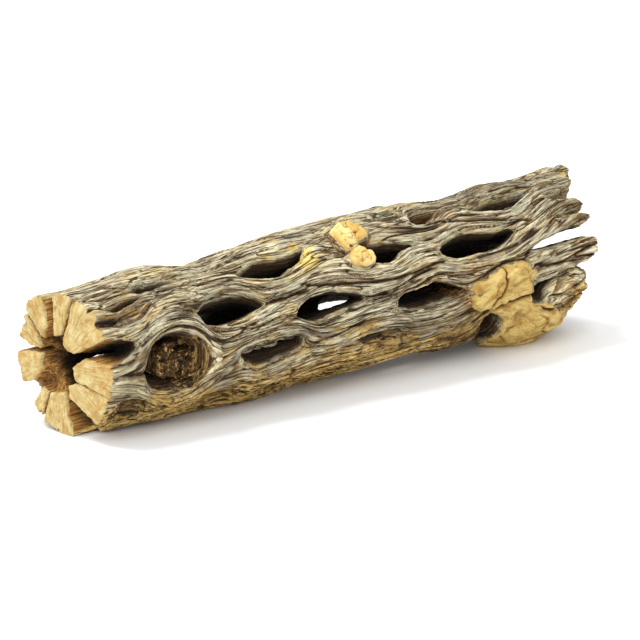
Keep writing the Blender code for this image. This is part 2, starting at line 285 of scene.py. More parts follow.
def rounded(points, steps=4):
    """A closed outline run smoothly through given points of the chart, in mm."""
    p = np.array([(x, a * MMDEG) for x, a in points], np.float32)
    out = []
    for k in range(len(p)):
        a, b, c, d = p[k - 1], p[k], p[(k + 1) % len(p)], p[(k + 2) % len(p)]
        for m in range(steps):
            t = m / steps
            out.append(0.5 * (2 * b + (c - a) * t + (2 * a - 5 * b + 4 * c - d) * t * t
                              + (3 * b - a - 3 * c + d) * t ** 3))
    return np.array(out, np.float32)


def cut_window(x, angle, outline, floor=0.0, slope=0.0, hold=True):
    reach_x = float(np.abs(outline[:, 0]).max()) + MARGIN
    reach_s = float(np.abs(outline[:, 1]).max()) + MARGIN
    ii, jj, px, ps = near_grid(x, angle, reach_x, reach_s)
    d = polygon_distance(px, ps, outline) + jag[ii, jj] * (0.6 if slope < 2 else 1.9)
    opened[ii, jj] = np.minimum(opened[ii, jj], d)
    inside = d < 0
    if floor:
        low = np.where(inside, ps, 1e6).min(1)[:, None]
        level = floor + (np.maximum(25.5 - slope * np.maximum(ps - low, 0), floor) - floor if slope else 0)
        level = level + 0.8 * jag_a[ii, jj]
        floor_r[ii, jj] = np.where(inside, np.maximum(floor_r[ii, jj], level), floor_r[ii, jj])
    else:
        through[ii, jj] = np.minimum(through[ii, jj], d)
    if hold and (not floor or floor < 19):
        flow_fix[ii, jj] = np.where(d < -0.3, -ps, flow_fix[ii, jj])


tips = []                                            # tips that crack on: x, angle, direction
for points, floor, slope in OUTLINES + FAR_SLOTS:
    shape = rounded(points)
    mid = (shape.max(0) + shape.min(0)) / 2
    cut_window(mid[0], mid[1] / MMDEG, shape - mid, floor, slope, mid[0] < 225)
    for side, pick in ((-1, min(points)), (1, max(points))):
        if 12 < pick[0] < 232:
            tips.append((pick[0], pick[1], side, mid[1] / MMDEG))
for x, angle, back, on, half, lean, sb, so, floor in WINDOWS:
    cut_window(x, angle, lens(back, on, half, lean, sb, so), floor)
    for side, reach in ((-1, back), (1, on)):
        tips.append((x + side * (reach - 1.0), angle + lean * side * (reach - 1.0), side, angle))

# the branch socket: a round hole with a torn plug of wood left in it
sx, sa, sr, ss = SOCKET
ring = np.array([(sr * math.cos(t), ss * math.sin(t))
                 for t in np.linspace(0, 2 * math.pi, 48, endpoint=False)], np.float32)
cut_window(sx, sa, ring, 11.5)
for x, angle, hl, hw, tall, gx, gs in STUBS:
    ii, jj, px, ps = near_grid(x, angle, hl + 2, hw + 2)
    inside = (px / hl) ** 2 + (ps / hw) ** 2 < 0.8
    flow_fix[ii, jj] = np.where(inside, -ps, flow_fix[ii, jj])


# ---------------------------------------------------------------- stream lines
def relax(u, fixed, hold, wx, ws, rounds):
    total = 2 * wx + 2 * ws
    for _ in range(rounds):
        up = np.vstack([u[1:], u[-1:]])
        dn = np.vstack([u[:1], u[:-1]])
        new = (wx * (up + dn) + ws * (np.roll(u, 1, 1) + np.roll(u, -1, 1))) / total
        u = np.where(hold, fixed, u + 1.0 * (new - u))
    return u


def stream():
    """Offset of the stream value from arc length: constant value in each window."""
    u = None
    for level in (8, 4, 2, 1):
        fixed = flow_fix[::level, ::level]
        hold = ~np.isnan(fixed)
        fixed = np.where(hold, fixed, 0)
        if u is None:
            u = np.zeros(fixed.shape, np.float32)
        else:
            i = np.minimum(np.arange(fixed.shape[0]) // 2, u.shape[0] - 1)
            j = np.arange(fixed.shape[1]) // 2 % u.shape[1]
            u = u[i][:, j]
        wx = 1 / (DX * level) ** 2
        ws = 1 / (CIRC / NT * level) ** 2
        u = relax(u, fixed, hold, wx, ws, 160)
    return u.astype(np.float32)


PSI = TT * MMDEG + stream() + 1.1 * ring_noise(TT * MMDEG, XX, 12.0, 30.0, 3)
PSI = PSI - 11.0 * step(188, 246, XX) * np.exp(-(wrap(TT - 52) / 40) ** 2)     # the grain climbs towards the far end

# ---------------------------------------------------------------- outer radius
mix = 0.5 + 0.5 * np.cos(np.radians(TT - 111))
base = on_line(TOP_LINE, XX) * mix + on_line(BOTTOM_LINE, XX) * (1 - mix)
base = base + 0.8 * ring_noise(TT * MMDEG, XX, 14.0, 26.0, 11)

near = np.exp(-np.maximum(opened, 0) / 2.6)
outer = base + 0.5 - 2.1 * near
# strands swell and dip along the flow
outer = outer + 1.0 * ring_noise(PSI, XX, 5.5, 46.0, 21) + 0.5 * ring_noise(PSI, XX, 2.6, 26.0, 22)


def crease(across, along, width, seed, keep=0.0):
    """Long thin grooves that follow the flow, 0 to 1, broken up along their run."""
    n = ring_noise(PSI, XX, across, along, seed)
    line = np.exp(-(n / width) ** 2)
    gate = step(-0.15 + keep, 0.35 + keep, ring_noise(PSI, XX, across * 1.6, along * 0.55, seed + 50))
    return line * gate


cr1 = crease(6.5, 80.0, 0.045, 31, -0.25)
cr2 = crease(3.3, 48.0, 0.070, 32, -0.10)
cr3 = crease(1.7, 26.0, 0.15, 33, -0.25)
crack = np.clip(1.0 * cr1 + 0.75 * cr2 + 0.4 * cr3, 0, 1)
outer = outer - 1.6 * cr1 - 0.95 * cr2 - 0.35 * cr3


def groove(points, width, depth, taper=4.0):
    """A crack laid along points (x, angle) of the chart."""
    pts = np.array([(x, a * MMDEG) for x, a in points], np.float32)
    mid = pts.mean(0)
    reach_x = np.abs(pts[:, 0] - mid[0]).max() + 4
    reach_s = np.abs(pts[:, 1] - mid[1]).max() + 4
    ii, jj, px, ps = near_grid(mid[0], mid[1] / MMDEG, reach_x, reach_s)
    a, b = pts[:-1] - mid, pts[1:] - mid
    e = b - a
    length = np.sqrt((e ** 2).sum(1))
    start = np.concatenate([[0], np.cumsum(length)[:-1]])
    qx, qs = px[..., None] - a[:, 0], ps[..., None] - a[:, 1]
    t = np.clip((qx * e[:, 0] + qs * e[:, 1]) / (length ** 2), 0, 1)
    d = np.sqrt((qx - t * e[:, 0]) ** 2 + (qs - t * e[:, 1]) ** 2)
    k = d.argmin(-1)[..., None]
    run = np.take_along_axis(start + t * length, k, -1)[..., 0]
    d = np.take_along_axis(d, k, -1)[..., 0]
    fade = np.clip(np.minimum(run, length.sum() - run) / taper, 0.12, 1)
    g = np.exp(-(d / (width * (0.4 + 0.6 * fade))) ** 2) * fade
    outer[ii, jj] -= depth * g
    crack[ii, jj] = np.maximum(crack[ii, jj], np.clip(g * 1.1, 0, 1))


# cracks that run on from the tips of the windows
rng = np.random.default_rng(7)
for tip_x, tip_a, side, angle in tips:
    run = float(rng.uniform(7, 16))
    points = [(tip_x - side, tip_a)]
    px_, pa_ = tip_x, tip_a
    i = int(np.clip((px_ - X_LOW) / DX, 0, NX - 1))
    level = PSI[i, int(round(pa_ / (360.0 / NT))) % NT]
    for _ in range(8):
        px_ += side * run / 8
        i = int(np.clip((px_ - X_LOW) / DX, 0, NX - 1))
        # follow the stream line that leaves the tip
        j = (np.arange(-5, 6) + int(round(pa_ / (360.0 / NT)))) % NT
        value = wrap((PSI[i, j] - level) / MMDEG)
        pa_ = float(wrap(ts[j[np.abs(value).argmin()]] - pa_) + pa_)
        points.append((px_, pa_))
    groove(points, 0.75, 1.9, 7.0)

GROOVES = (
    (((38, 42), (43, 41), (48, 36)), 1.3, 2.5),
    (((75, 30), (82, 30), (92, 31), (99, 33)), 0.9, 1.6),
    (((119, 15), (128, 14), (134, 13)), 0.8, 1.6),
    (((92, 38), (102, 34), (116, 29), (127, 25), (137, 24), (150, 26), (158, 28), (166, 28)), 0.7, 1.1),
    (((159, 61), (170, 62), (188, 55), (206, 46), (214, 42)), 0.75, 1.2),
    (((175, 24), (185, 24), (193, 25), (203, 27)), 0.8, 1.2),
    (((226, -9), (233, -6), (243, -3)), 1.0, 2.4),
)
for points, width, depth in GROOVES:
    groove(points, width, depth)

# the knob, the sawn stubs and the socket's collar
kx, ka, kh, kb, kd, kr = KNOB
delta = np.radians(wrap(TT - ka))
ax_ = ((XX - kx) / kh) ** 2
aa = (np.sin(delta) / kb) ** 2 + (np.cos(delta) / kd) ** 2
bb = -2 * kr * np.cos(delta) / kd ** 2
cc = (kr / kd) ** 2 + ax_ - 1
disc = bb * bb - 4 * aa * cc
knob_r = np.where(disc > 0, (-bb + np.sqrt(np.maximum(disc, 0))) / (2 * aa), 0)
knob_r = knob_r + 0.4 * ring_noise(TT * MMDEG, XX, 8.0, 10.0, 41)
before = np.interp(wrap(TT), [-180, -140, -96, -75, -48, -30, -20, -10], [180, 188, 197, 194.5, 192.5, 189, 185, 178]) - XX
knob_r = knob_r * step(0.9, -0.5, before + 0.5 * jag_a)        # the knob is broken off short on this side
outer = smax(outer, knob_r, 2.5)
outer = outer - (2.4 + 2.5 * jag_a) * np.exp(-((before - 2.8) / 2.8) ** 2) * step(-24, -34, wrap(TT)) * step(-110, -80, wrap(TT))
face = rounded(KNOB_FACE, 3)
mid = (face.max(0) + face.min(0)) / 2
ii, jj, px, ps = near_grid(mid[0], mid[1] / MMDEG, 45, 34)
knob_in = -polygon_distance(px, ps, face - mid) + 1.6 * jag_a[ii, jj] + 1.1 * jag_b[ii, jj]
worn = 0.55 * ring_noise(TT * MMDEG, XX, 6.0, 8.0, 42) + 0.25 * ring_noise(TT * MMDEG, XX, 2.5, 3.5, 43)
plate = np.maximum(base + 0.9, knob_r) + worn + 1.3 * step(-0.05, 0.05, ring_noise(TT * MMDEG, XX, 9.0, 14.0, 44))
lift = 1.6 * step(200, 186, XX)[ii, jj] + 0.6
grown = plate[ii, jj] + lift * np.clip(knob_in / 1.5, 0, 1)
soft = (step(197, 206, XX) * step(-14, -6, wrap(TT)))[ii, jj]      # towards the top it dies out into the strands
w = (step(-0.3, 0.5, knob_in) * (1 - soft) + step(-0.5, 6.0, knob_in) * soft) * step(-0.2, 0.8, opened[ii, jj])
outer[ii, jj] = outer[ii, jj] * (1 - w) + grown * w
crack[ii, jj] *= 1 - w
knob_on = np.zeros((NX, NT), np.float32)
knob_on[ii, jj] = step(-0.8, 0.6, knob_in) * (1 - soft) + soft * step(0.5, 4.5, knob_in + 2.5 * jag_b[ii, jj])
KNOB_CRACKS = (
    (((190, 17), (188, 6), (187, -1), (183, -10), (180, -18)), 0.7, 1.6),
    (((176, -17), (182, -19), (186, -16), (189, -15), (196, -14), (204, -14), (208, -12)), 0.8, 2.2),
    (((187, -15), (189.5, -14), (191, -15)), 1.5, 4.0),
    (((204, 10), (200, 14), (192, 15), (184, 12), (174, 5)), 0.8, 1.6),
    (((207, -27), (216, -31), (226, -33), (234, -28), (241, -24)), 0.7, 1.8),
    (((213, -22), (222, -24), (232, -21), (240, -18)), 0.6, 1.4),
    (((224, -44), (232, -42), (240, -37)), 0.7, 1.6),
    (((214, -52), (224, -53), (232, -58)), 0.7, 1.4),
    (((205, 8), (212, 4), (222, 3), (232, 8), (240, 12)), 0.7, 1.3),
    (((199, 12), (207, 20), (215, 18), (222, 15)), 0.6, 1.0),
)
for points, width, deep in KNOB_CRACKS:
    groove(points, width, deep, 3.0)

stub_on = np.zeros((NX, NT), np.float32)
for x, angle, hl, hw, tall, gx, gs in STUBS:
    ii, jj, px, ps = near_grid(x, angle, hl + 8, hw + 8)
    q = np.sqrt((px / hl) ** 2 + (ps / hw) ** 2)
    edge = (1 - q) * min(hl, hw)                  # mm inside the stub's outline
    edge = edge + 0.7 * noise3(np.stack([px / 4, ps / 4, px * 0 + x], -1), 65)
    side = tall * 1.6 * np.clip(edge / 2.0 + 0.2, -1.0, 1.5)
    top = (tall + gx * px + gs * ps + 0.5 * noise3(np.stack([px / 3, ps / 3, px * 0 + x], -1), 66)
           - 0.8 * np.exp(-(noise3(np.stack([px / 3.5, ps / 2.2, px * 0 + x + 5], -1), 67) / 0.09) ** 2))
    bump = smin(side, top, 1.4)
    grown = base[ii, jj] + bump
    stub_on[ii, jj] = np.maximum(stub_on[ii, jj], step(-0.5, 0.4, edge))
    moat = np.exp(-((edge + 1.0) / 0.6) ** 2) * (0.9 + 1.2 * noise3(np.stack([px / 3, ps / 3, px * 0 + x], -1), 68))
    crack[ii, jj] = np.maximum(crack[ii, jj], np.exp(-((edge + 0.8) / 0.6) ** 2) * step(-0.4, 0.5, noise3(np.stack([px / 3, ps / 3, px * 0 + x], -1), 68)))
    outer[ii, jj] = np.where(edge > -0.8, smax(outer[ii, jj], grown, 0.8), outer[ii, jj]) - moat

ii, jj, px, ps = near_grid(sx, sa, sr + 12, sr + 12)
q = np.sqrt((px / sr) ** 2 + (ps / ss) ** 2) * 12.5
outer[ii, jj] += 1.2 * np.exp(-((q - 15.6) / 2.4) ** 2)
plug = np.zeros((NX, NT), np.float32)
tear = noise3(np.stack([px / 4, ps / 4, px * 0 + 3], -1), 61)
gap_q = np.sqrt(((px - 3.6) / sr) ** 2 + ((ps + 0.7) / ss) ** 2) * 12.5 / (11.6 + 1.1 * tear)
spikes = (0.8 * noise3(np.stack([(px + 0.6 * ps) / 3.2, (ps - 0.6 * px) / 6.0, px * 0], -1), 62)
          + 0.55 * noise3(np.stack([px / 2.4, ps / 2.4, px * 0], -1), 63)
          + 0.4 * noise3(np.stack([px / 1.1, ps / 1.1, px * 0], -1), 66))
splinter = np.exp(-(((px + 0.35 * ps - 3.0) / 0.8) ** 2)) * step(-9, -5, ps) * step(1, -2, ps)
splinter = np.maximum(splinter, np.exp(-(((px - 0.45 * ps - 5.6) / 0.6) ** 2)) * step(-7, -4, ps) * step(0, -2, ps))
plug_r = 20.8 + 3.4 * spikes + 2.8 * splinter + 1.6 * noise3(np.stack([px / 7, ps / 7, px * 0 + 9], -1), 64)
black = np.exp(-(((px - 8.5) / 5.5) ** 2 + ((ps - 3.8) / 2.6) ** 2) * 1.3)      # torn-out gap beside the plug
plug_r = plug_r - 9.0 * black
plug[ii, jj] = np.where(gap_q < 1, np.maximum(plug_r - 8 * np.clip((gap_q - 0.8) / 0.2, 0, 1), 0), 0)
floor_r = np.maximum(floor_r, plug)

inner = (CORE_R + 0.9 * ring_noise(TT * MMDEG, XX, 7.0, 15.0, 71)
         + 0.5 * ring_noise(PSI, XX, 4.0, 40.0, 72, r=14.0) - 3.0 * np.exp(-np.maximum(XX, 0) / 12.0)).astype(np.float32)

# ---------------------------------------------------------------- ends
END_TABLE = ((-170, -1.0, 0.0), (-135, 0.5, 0.0), (-115, -0.5, 0.0), (-95, 0.0, 0.0),
             (-60, 0.3, 1.0), (-38, 0.3, 1.5), (-5, 0.3, 3.0), (20, 0.3, 4.5),
             (52, 0.2, 5.0), (72, 0.4, 2.0), (92, 0.6, 0.2), (127, -1.6, 0.0), (165, 1.2, 0.0))
FAR_TABLE = ((-100, 240), (-66, 245), (-48, 242), (-30, 240), (-18, 238), (-9, 236), (4, 242), (13, 243),
             (20, 243), (29, 242), (36, 244), (43.5, 241), (48, 244), (56, 240), (63, 236), (73, 244),
             (85, 250), (98, 252), (111, 253), (130, 250), (160, 243), (185, 249), (210, 245), (235, 242))


def around(table, column):
    a = np.array([row[0] for row in table], float)
    v = np.array([row[column] for row in table], float)
    order = np.argsort(a % 360)
    a, v = (a % 360)[order], v[order]
    a = np.concatenate([[a[-1] - 360], a, [a[0] + 360]])
    v = np.concatenate([[v[-1]], v, [v[0]]])
    return np.interp(ts, a, v).astype(np.float32)


end_0, end_slant = around(END_TABLE, 1), around(END_TABLE, 2)
saw = 0.35 * noise3(np.stack([np.cos(np.radians(ts))[:, None] * rs / 5, np.sin(np.radians(ts))[:, None] * rs / 5,
                              np.zeros((NT, NR))], -1), 81)
x_cut = end_0[:, None] + end_slant[:, None] * np.clip((rs[None] - 10) / 16, 0, 1.2) + saw
torn = 1.6 * noise3(np.stack([np.cos(np.radians(ts))[:, None] * rs / 3, np.sin(np.radians(ts))[:, None] * rs / 3,
                              np.full((NT, NR), 4.0)], -1), 82)
torn = torn + 2.4 * noise3(np.stack([np.cos(np.radians(ts))[:, None] * rs / 6.5, np.sin(np.radians(ts))[:, None] * rs / 6.5,
                                     np.full((NT, NR), 9.0)], -1), 85)
splint = noise3(np.stack([np.cos(np.radians(ts))[:, None] * rs / 1.5, np.sin(np.radians(ts))[:, None] * rs / 1.5,
                          np.full((NT, NR), 2.0)], -1), 86)
torn = torn + 1.8 * np.abs(splint) - 0.5
x_far = around(FAR_TABLE, 1)[:, None] + torn
front = np.cos(np.radians(ts))[:, None] * rs
upward = np.sin(np.radians(ts))[:, None] * rs
blade = np.full((NT, NR), -50.0, np.float32)
wobble = 0.5 * noise3(np.stack([front / 3.0, upward / 3.0, front * 0], -1), 83)
for points in BLADES:
    p = np.array(points, np.float32)
    length = np.hypot(p[:, 0], p[:, 1])
    p = np.where((length > 21.0)[:, None], p / length[:, None] * 33.0, p).astype(np.float32)
    blade = np.maximum(blade, 0.3 - polygon_distance(front, upward, p) + wobble)
gap_x = around(GAP_DEPTH, 1)[:, None] + 1.2 * noise3(np.stack([front / 4.0, upward / 4.0, front * 0 + 5], -1), 84)
gap_x = gap_x - 5.0 * step(19, 22, rs)[None] * (step(56, 64, ts) * step(86, 80, ts))[:, None]


# ---------------------------------------------------------------- the solid
def field(i0, i1):
    """Signed value of the wood on a slab of the grid, positive inside."""
    x = xs[i0:i1, None, None]
    r = rs[None, None, :]
    shell = smin(outer[i0:i1, :, None] - r, r - inner[i0:i1, :, None], 2.0)
    sunk = np.maximum(outer[i0:i1, :, None] - r, 0)
    spread = 0.07 * sunk - 0.42 * np.maximum(sunk - 6.5, 0)      # strands are round inside too
    wall = through[i0:i1, :, None] + np.where(x > 20, spread, 0.07 * sunk)
    wood = smin(shell, wall, 2.6)
    rim = opened[i0:i1, :, None] + 0.07 * np.maximum(outer[i0:i1, :, None] - r, 0)
    floor = smin(floor_r[i0:i1, :, None] - r, r - inner[i0:i1, :, None], 1.5)
    wood = np.where(floor_r[i0:i1, :, None] > 0, smax(smin(wood, rim, 1.2), floor, 0.8), smin(wood, rim, 1.2))
    if xs[i0] < 30:
        wood = smin(wood, smax(blade[None], 0.7 * (x - gap_x[None]), 2.0), 1.2)
    wood = smin(wood, x - x_cut[None], 0.9)
    return smin(wood, x_far[None] - x, 3.5).astype(np.float32)


F = np.empty((NX, NT, NR), np.float32)
for i0 in range(0, NX, 32):
    F[i0:i0 + 32] = field(i0, min(NX, i0 + 32))
F[0] = F[-1] = -1
F[:, :, 0] = F[:, :, -1] = -1


def surface_nets(F):
    nx, nt, nr = F.shape
    G = np.concatenate([F, F[:, :1]], 1)
    S = (G > 0)
    count = np.zeros((nx - 1, nt, nr - 1), np.uint8)
    corners = [(a, b, c) for a in (0, 1) for b in (0, 1) for c in (0, 1)]
    for a, b, c in corners:
        count += S[a:nx - 1 + a, b:nt + b, c:nr - 1 + c]
    active = np.flatnonzero((count > 0) & (count < 8))
    del count
    i, j, k = np.unravel_index(active, (nx - 1, nt, nr - 1))
    vals = np.stack([G[i + a, j + b, k + c] for a, b, c in corners], 1)
    pos = np.zeros((len(active), 3), np.float32)
    cnt = np.zeros(len(active), np.float32)
    for m, (a, b, c) in enumerate(corners):
        for axis in range(3):
            if (a, b, c)[axis]:
                continue
            other = [a, b, c]
            other[axis] = 1
            n = corners.index(tuple(other))
            va, vb = vals[:, m], vals[:, n]
            hit = (va > 0) != (vb > 0)
            t = np.where(hit, va / np.where(hit, va - vb, 1), 0)
            p = np.zeros((len(active), 3), np.float32)
            p[:, 0], p[:, 1], p[:, 2] = a, b, c
            p[:, axis] += t
            pos += p * hit[:, None]
            cnt += hit
    pos /= cnt[:, None]
    pos += np.stack([i, j, k], 1)
    ident = np.full((nx - 1, nt, nr - 1), -1, np.int32)
    ident.reshape(-1)[active] = np.arange(len(active), dtype=np.int32)
    quads = []
    inside = S[:, :nt]
    # edges along x
    d = inside[:-1, :, 1:-1].astype(np.int8) - inside[1:, :, 1:-1]
    i, j, k = np.nonzero(d)
    sign = d[i, j, k]
    k = k + 1
    q = np.stack([ident[i, j - 1, k - 1], ident[i, j, k - 1], ident[i, j, k], ident[i, j - 1, k]], 1)
    quads.append(np.where((sign > 0)[:, None], q, q[:, ::-1]))
    # edges round the stem
    d = inside[1:-1, :, 1:-1].astype(np.int8) - np.roll(inside, -1, 1)[1:-1, :, 1:-1]
    i, j, k = np.nonzero(d)
    sign = d[i, j, k]
    i, k = i + 1, k + 1
    q = np.stack([ident[i - 1, j, k - 1], ident[i - 1, j, k], ident[i, j, k], ident[i, j, k - 1]], 1)
    quads.append(np.where((sign > 0)[:, None], q, q[:, ::-1]))
    # edges along r
    d = inside[1:-1, :, :-1].astype(np.int8) - inside[1:-1, :, 1:]
    i, j, k = np.nonzero(d)
    sign = d[i, j, k]
    i = i + 1
    q = np.stack([ident[i - 1, j - 1, k], ident[i, j - 1, k], ident[i, j, k], ident[i - 1, j, k]], 1)
    quads.append(np.where((sign > 0)[:, None], q, q[:, ::-1]))
    quads = np.concatenate(quads)
    return pos, quads


grid_pos, quads = surface_nets(F)
del F


def components(count, edges):
    label = np.arange(count)
    while True:
        a, b = label[edges[:, 0]], label[edges[:, 1]]
        m = a != b
        if not m.any():
            return label
        np.minimum.at(label, np.maximum(a, b)[m], np.minimum(a, b)[m])
        while True:
            nxt = label[label]
            if (nxt == label).all():
                break
            label = nxt


edges = np.concatenate([quads[:, [0, 1]], quads[:, [1, 2]], quads[:, [2, 3]]])
label = components(len(grid_pos), edges)
names, counts = np.unique(label, return_counts=True)
keep = label == names[counts.argmax()]
quads = quads[keep[quads[:, 0]]]
new_index = np.cumsum(keep) - 1
grid_pos = grid_pos[keep]
quads = new_index[quads]
print("mesh", len(grid_pos), len(quads), "dropped", int(counts.sum() - counts.max()))

vx = X_LOW + DX * grid_pos[:, 0]
vt = 360.0 / NT * grid_pos[:, 1]
vr = R_LOW + DR * grid_pos[:, 2]


def sample(field2d, periodic_step=None):
    """Bilinear value of a chart field at the mesh's vertices."""
    fi = np.clip(grid_pos[:, 0], 0, NX - 1.001)
    i = fi.astype(int)
    fj = grid_pos[:, 1]
    j = np.floor(fj).astype(int)
    a, b = (fi - i)[:, None], (fj - j)[:, None]
    j0, j1 = j % NT, (j + 1) % NT
    v00, v01, v10, v11 = field2d[i, j0], field2d[i, j1], field2d[i + 1, j0], field2d[i + 1, j1]
    a, b = a[:, 0], b[:, 0]
    return (v00 * (1 - a) * (1 - b) + v01 * (1 - a) * b + v10 * a * (1 - b) + v11 * a * b).astype(np.float32)


PHI = PSI * (2 * math.pi / CIRC)
cphi, sphi = sample(np.cos(PHI)), sample(np.sin(PHI))
norm = np.sqrt(cphi ** 2 + sphi ** 2) + 1e-6
cphi, sphi = cphi / norm, sphi / norm
v_crack = sample(crack)
v_opened = sample(opened)
v_outer = sample(outer)
v_base = sample(base)
v_knob = sample(knob_on)
v_stub = sample(stub_on)
v_inner = sample(inner)
depth = np.maximum(v_outer - vr, 0)

# ---------------------------------------------------------------- to space
cad_turn = Matrix.Rotation(math.radians(-TILT), 3, "Y") @ Matrix.Rotation(math.radians(TURN), 3, "X")
M = np.array(cad_turn)


def to_row(p):
    """Points of the stem's frame (mm) in the part's frame (m)."""
    return (p @ M.T + np.array(SHIFT)) * 0.001


rad = np.radians(vt)
P = np.stack([vx, -vr * np.cos(rad), vr * np.sin(rad)], 1).astype(np.float64)


def vertex_normals(P, quads):
    a, b, c, d = (P[quads[:, m]] for m in range(4))
    n = np.cross(c - a, d - b)
    out = np.zeros_like(P)
    for m in range(4):
        for axis in range(3):
            out[:, axis] += np.bincount(quads[:, m], n[:, axis], len(P))
    return out / (np.linalg.norm(out, axis=1, keepdims=True) + 1e-12)


N = vertex_normals(P, quads)
out_dir = np.stack([np.zeros_like(vr), -np.cos(rad), np.sin(rad)], 1)
facing_out = (N * out_dir).sum(1)                      # 1 on the outside, -1 in the core
facing_x = N[:, 0]

end_gap = vx - np.interp(vt % 360, np.append(ts, 360), np.append(end_0, end_0[0])) \
    - np.interp(vt % 360, np.append(ts, 360), np.append(end_slant, end_slant[0])) * np.clip((vr - 10) / 16, 0, 1.2)
far_gap = np.interp(vt % 360, np.append(ts, 360), np.append(around(FAR_TABLE, 1), around(FAR_TABLE, 1)[0])) - vx

flow = np.stack([vr * cphi, vr * sphi, vx], 1)
rough = noise3(P / 4.0, 91)
cut_face = step(0.35, 0.75, -facing_x) * step(4.5, 2.0, end_gap)
cut_wall = step(2.2, 0.6, end_gap + 1.0 * rough) * step(0.75, 0.35, facing_out)
cut = np.clip(cut_face + 0.85 * cut_wall, 0, 1)
cut = np.maximum(cut, v_stub * step(0.2, 0.5, facing_out))
knob_patch = v_knob * step(-0.85, -0.5, noise3(P / 5.0, 92) - 0.7 * step(218, 236, vx))
cut = np.maximum(cut, knob_patch * step(0.0, 0.4, facing_out))
lemon = step(8.0, 5.0, np.hypot((vx - 102) * 1.3, wrap(vt - 62) * MMDEG) + 3.0 * noise3(P / 2.5, 94))
lemon = np.maximum(lemon, step(6.0, 4.0, np.hypot((vx - 250) * 1.0, wrap(vt - 84) * MMDEG) + 1.5 * noise3(P / 2.5, 94)))
lemon = lemon * step(0.2, 0.6, facing_out)
under = step(-12, -36, wrap(vt - 0.0) + 20 * noise3(P / 9.0, 93)) * step(-150, -120, wrap(vt)) * (1 - v_knob)
under = np.maximum(under, 0.8 * step(0.25, 0.5, noise3(P / 13.0, 95)) * step(60, -20, wrap(vt)))

# fine relief: fibres along the flow, a little roughness everywhere
fibre = noise3(flow / np.array([1.05, 1.05, 16.0]), 101)
fibre2 = noise3(flow / np.array([0.6, 0.6, 9.0]), 102)
cleft = np.exp(-(noise3(flow / np.array([2.3, 2.3, 34.0]), 105) / 0.11) ** 2) * step(-0.2, 0.25, noise3(flow / np.array([3.0, 3.0, 20.0]), 106))
grit = noise3(P / 1.3, 103)
grit2 = noise3(P / 2.8, 104)
smooth_face = np.clip(cut, 0, 1)
skin = step(0.25, 0.6, facing_out)
relief = (1 - smooth_face) * (0.20 * fibre + 0.12 * fibre2 - 0.55 * cleft * skin) + (0.07 + 0.09 * (1 - np.clip(facing_out, 0, 1))) * grit
relief = relief + np.where(facing_out < 0.4, 0.22, 0.05) * grit2 * (1 - smooth_face)
crumb = noise3(P / np.array([2.6, 1.5, 1.5]), 107)
crumb2 = noise3(P / np.array([1.4, 0.9, 0.9]), 108)
relief = relief + under * skin * (0.55 * (0.35 - np.abs(crumb)) + 0.28 * crumb2 - 0.6 * step(0.25, 0.55, noise3(P / 3.4, 109)))
relief = relief + smooth_face * (0.13 * grit2 + 0.04 * grit + 0.08 * noise3(P / 0.8, 110))
broken = step(9.0, 3.0, far_gap) * step(0.6, 0.2, facing_out)
relief = relief + broken * (0.55 * noise3(P / 3.6, 111) + 0.30 * crumb2)
P = P + N * relief[:, None]

# how far each spot stands proud of its surroundings: ridges get wear and a painted highlight, hollows dirt and painted
# shade
pairs = np.concatenate([quads[:, [0, 1]], quads[:, [1, 2]], quads[:, [2, 3]], quads[:, [3, 0]]])
near_a, near_b = np.concatenate([pairs[:, 0], pairs[:, 1]]), np.concatenate([pairs[:, 1], pairs[:, 0]])
degree = np.bincount(near_a, minlength=len(P)).astype(float)


def blurred(values, rounds):
    for _ in range(rounds):
        values = 0.35 * values + 0.65 * np.bincount(near_a, values[near_b], len(P)) / degree
    return values


soft = np.stack([blurred(P[:, axis], 5) for axis in range(3)], 1)
ridge_fine = ((P - soft) * N).sum(1)
softer = np.stack([blurred(soft[:, axis], 26) for axis in range(3)], 1)
ridge_wide = ((soft - softer) * N).sum(1)
ridge_fine = blurred(ridge_fine, 1)

# lie flat on the ground, as the solid does
Q = to_row(P)
Q[:, 2] = np.maximum(Q[:, 2], 0.00002)

# ---------------------------------------------------------------- mesh object
mesh = bpy.data.meshes.new("driftwood_stick")
mesh.vertices.add(len(Q))
mesh.vertices.foreach_set("co", Q.astype(np.float32).ravel())
mesh.loops.add(len(quads) * 4)
mesh.loops.foreach_set("vertex_index", quads.astype(np.int32).ravel())
mesh.polygons.add(len(quads))
mesh.polygons.foreach_set("loop_start", np.arange(0, len(quads) * 4, 4, dtype=np.int32))
mesh.polygons.foreach_set("loop_total", np.full(len(quads), 4, np.int32))
mesh.update(calc_edges=True)
mesh.validate()
mesh.shade_smooth()


def attribute(name, values, kind="FLOAT"):
    layer = mesh.attributes.new(name, kind, "POINT")
    layer.data.foreach_set("value" if kind == "FLOAT" else "vector", np.ascontiguousarray(values, np.float32).ravel())


attribute("flow", flow, "FLOAT_VECTOR")
attribute("crack", v_crack * step(0.2, 0.6, facing_out))
attribute("cut", cut)
attribute("depth", depth)
attribute("rim", np.exp(-np.maximum(v_opened, 0) / 1.5))
attribute("under", under)
attribute("fine_ridge", np.clip(0.5 + ridge_fine / 0.5, 0, 1))
attribute("wide_ridge", np.clip(0.5 + ridge_wide / 1.6, 0, 1))
def stain_light_and_shade_blots(spots):
    """Soft blots at (x, angle, half length, half width) of the chart: the wood's own colour blots, painted light and
    painted shade.
    """
    out = np.zeros(len(vx))
    for x, angle, hl, hw in spots:
        q = ((vx - x) / hl) ** 2 + (wrap(vt - angle) * MMDEG / hw) ** 2
        out = np.maximum(out, np.exp(-q * (1.0 + 0.9 * ragged)))
    return out


